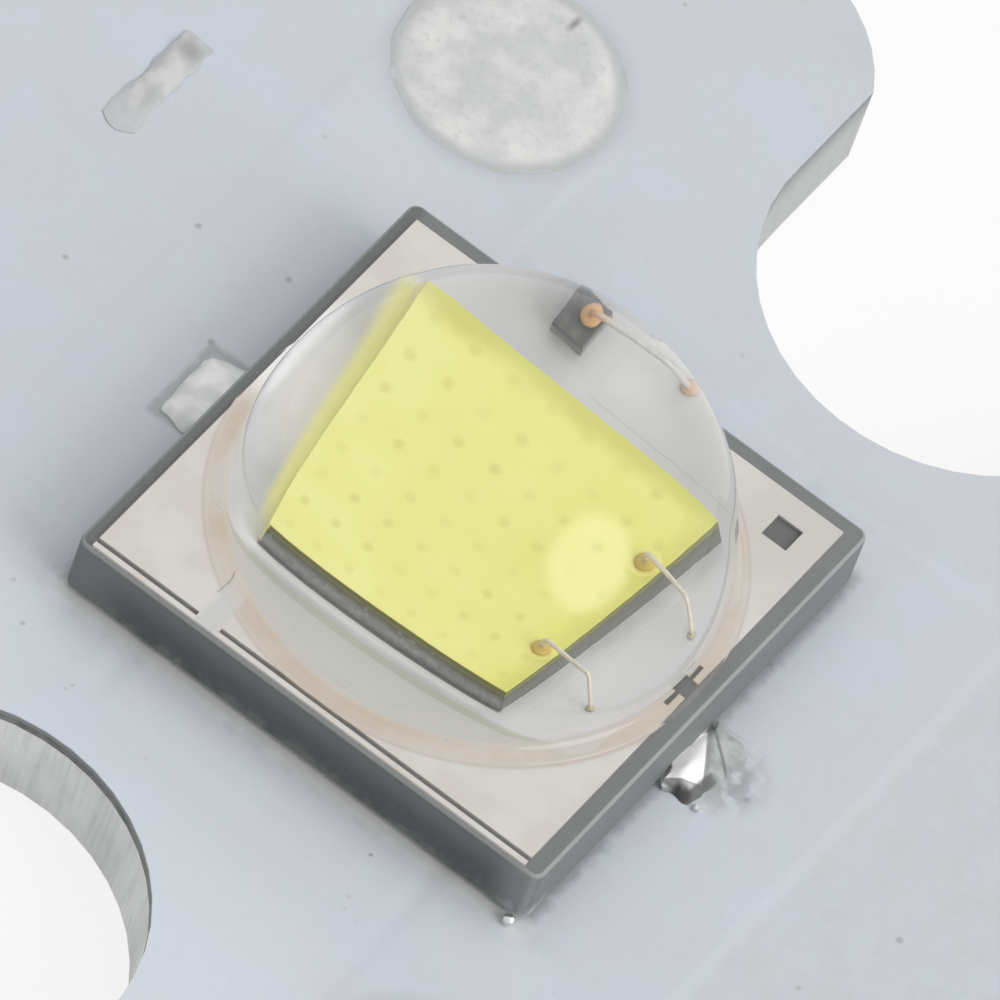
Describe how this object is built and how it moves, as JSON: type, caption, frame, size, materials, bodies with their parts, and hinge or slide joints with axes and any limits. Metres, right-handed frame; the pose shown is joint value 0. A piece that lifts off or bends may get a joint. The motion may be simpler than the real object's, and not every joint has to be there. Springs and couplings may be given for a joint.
{
  "type": "power led emitter on a round metal-core board",
  "caption": "Square ceramic power LED with a clear dome and yellow phosphor chip, soldered to a round aluminium-core board with screw notches.",
  "frame": {"origin": "middle of the board's underside, on the emitter's optical axis", "axes": "+Z is the way the light goes, out of the dome; +X points to the emitter's anode side, along the square body's side; +Y completes a right-handed frame"},
  "size_m": [0.016, 0.0154, 0.0041],
  "materials": {
    "core_aluminium": "sheared, bare",
    "laminate_resin": "matt",
    "copper": "rolled foil",
    "white_mask": "satin, pale bluish grey",
    "solder": "dull tin",
    "grey_ceramic": "fired, matt",
    "silver_plate": "plated",
    "silver_land": "plated, bright",
    "beige_land": "pale beige, satin",
    "chip_edge": "sawn",
    "phosphor": "matt, pale yellow",
    "gold": "drawn gold wire",
    "diode_black": "sawn",
    "clear_silicone": "clear, smooth"
  },
  "bodies": {
    "root": {"core_plate": "core_aluminium", "laminate": "laminate_resin", "cathode_trace": "copper", "anode_trace": "copper", "heat_spreader": "copper", "solder_mask": "white_mask", "minus_wire_pad": "solder", "plus_wire_pad": "solder", "minus_mark": "solder", "plus_mark": "solder", "cathode_solder": "solder", "anode_solder": "solder", "heat_solder": "solder", "solder_ball": "solder", "ceramic_body": "grey_ceramic", "cathode_contact": "silver_plate", "anode_contact": "silver_plate", "heat_contact": "silver_plate", "cathode_vias": "silver_plate", "anode_vias": "silver_plate", "chip_land": "silver_land", "anode_land": "silver_land", "frame_land": "beige_land", "chip_attach": "silver_plate", "led_chip": "chip_edge", "phosphor_layer": "phosphor", "bond_pads": "gold", "bond_wires": "gold", "protection_diode": "diode_black", "diode_wire": "gold", "lens": "clear_silicone"}
  },
  "joints": []
}
